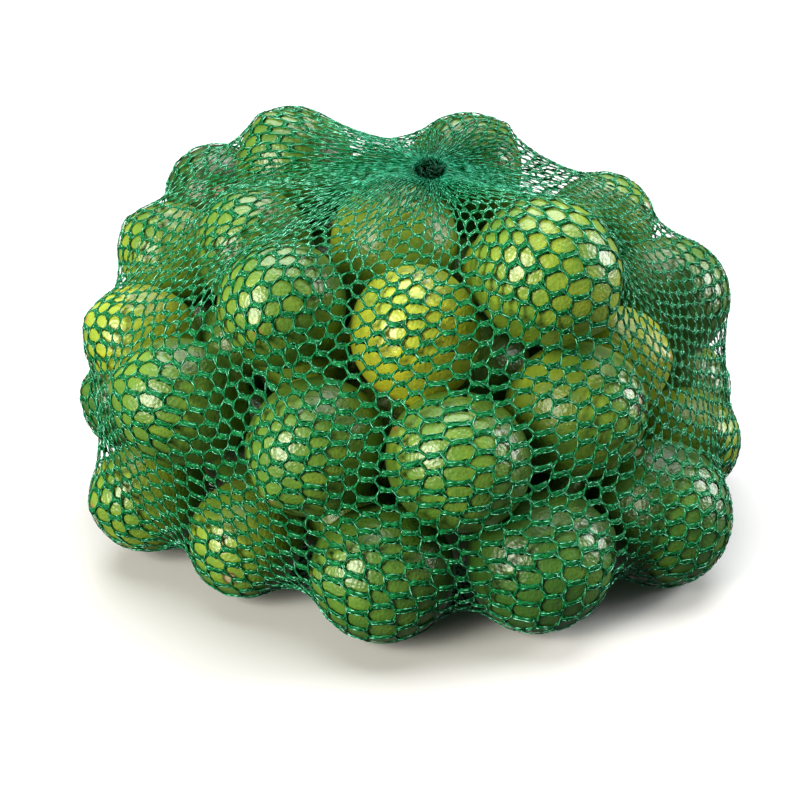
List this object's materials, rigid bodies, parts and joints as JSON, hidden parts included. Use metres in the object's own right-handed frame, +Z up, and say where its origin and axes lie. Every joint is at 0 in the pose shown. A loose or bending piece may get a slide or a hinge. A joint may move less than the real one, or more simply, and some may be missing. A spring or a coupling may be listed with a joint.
{
  "type": "bag of limes",
  "caption": "Heap of ripe green limes in a tight knitted net bag, gathered and knotted on top, resting on its flat underside.",
  "frame": {"origin": "on the floor, under the middle of the bag", "axes": "+X to the right along the bag's longest side, +Y away from the side that shows, +Z up"},
  "size_m": [0.2856, 0.2238, 0.167],
  "materials": {
    "net": "knitted green plastic tape with a soft shine",
    "lime_peel": "waxy pored citrus peel, dark green to yellow-green"
  },
  "bodies": {
    "root": {"net_bag": "net"}
  },
  "joints": []
}
